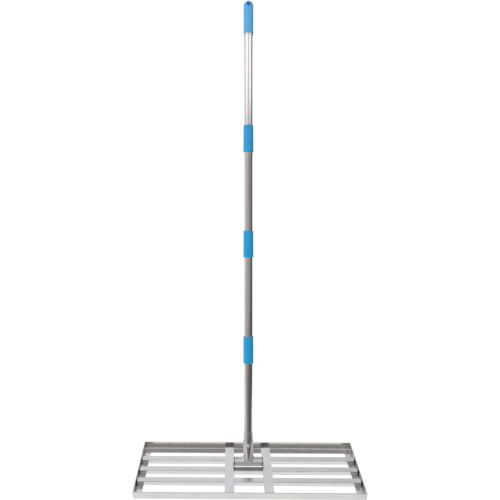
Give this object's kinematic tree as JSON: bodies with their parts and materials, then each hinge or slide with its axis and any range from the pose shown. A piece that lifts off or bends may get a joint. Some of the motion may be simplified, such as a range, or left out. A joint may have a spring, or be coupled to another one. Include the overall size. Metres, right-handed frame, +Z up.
{
  "type": "lawn levelling rake",
  "caption": "Long-handled levelling rake: a rectangular steel ground plate of angle rails and cross bars, towed by a screw-together pole that tilts on a pivot.",
  "frame": {"origin": "on the ground, at the middle of the front rail's flat underside", "axes": "+Z up from the ground, +X to the right along the long rails, +Y to the back, the way the pole leans at rest; -Y is the front"},
  "size_m": [0.9144, 0.8616, 1.8534],
  "materials": {
    "rail_steel": "bare stainless sheet, semi-bright",
    "bar_steel": "bare stainless box section, satin",
    "strap_steel": "bare flat bar, matt and slightly mottled",
    "tube_steel": "polished stainless tube",
    "fastener_steel": "plated steel, semi-bright",
    "blue_coupling": "moulded blue plastic, satin",
    "blue_grip": "moulded sky-blue plastic, soft satin",
    "black_nylon": "black nylon, matt",
    "blue_insert": "moulded plastic, hidden inside the pole"
  },
  "bodies": {
    "ground_plate": {"front_rail": "rail_steel", "back_rail": "rail_steel", "left_end_rail": "rail_steel", "right_end_rail": "rail_steel", "front_cross_bar": "bar_steel", "middle_cross_bar": "bar_steel", "rear_cross_bar": "bar_steel", "left_strap": "strap_steel", "right_strap": "strap_steel", "left_pivot_lug": "strap_steel", "right_pivot_lug": "strap_steel", "pivot_pin": "fastener_steel"},
    "handle": {"socket_screw": "fastener_steel", "socket_nut": "fastener_steel", "cross_tube": "tube_steel", "handle_socket": "tube_steel", "socket_collar": "tube_steel", "lower_tube": "tube_steel", "second_tube": "tube_steel", "third_tube": "tube_steel", "top_tube": "tube_steel", "grip_ferrule": "tube_steel", "left_pivot_bush": "black_nylon", "right_pivot_bush": "black_nylon", "lower_coupling_sleeve": "blue_coupling", "middle_coupling_sleeve": "blue_coupling", "upper_coupling_sleeve": "blue_coupling", "lower_threaded_plug": "blue_insert", "lower_threaded_insert": "blue_insert", "middle_threaded_plug": "blue_insert", "middle_threaded_insert": "blue_insert", "upper_threaded_plug": "blue_insert", "upper_threaded_insert": "blue_insert", "hand_grip": "blue_grip"}
  },
  "joints": [
    {"name": "handle_tilt", "type": "hinge", "parent": "ground_plate", "child": "handle", "pos_m": [0, 0.1237, 0.0448], "axis": [1, 0, 0], "range_deg": [-61.5, 99]}
  ]
}
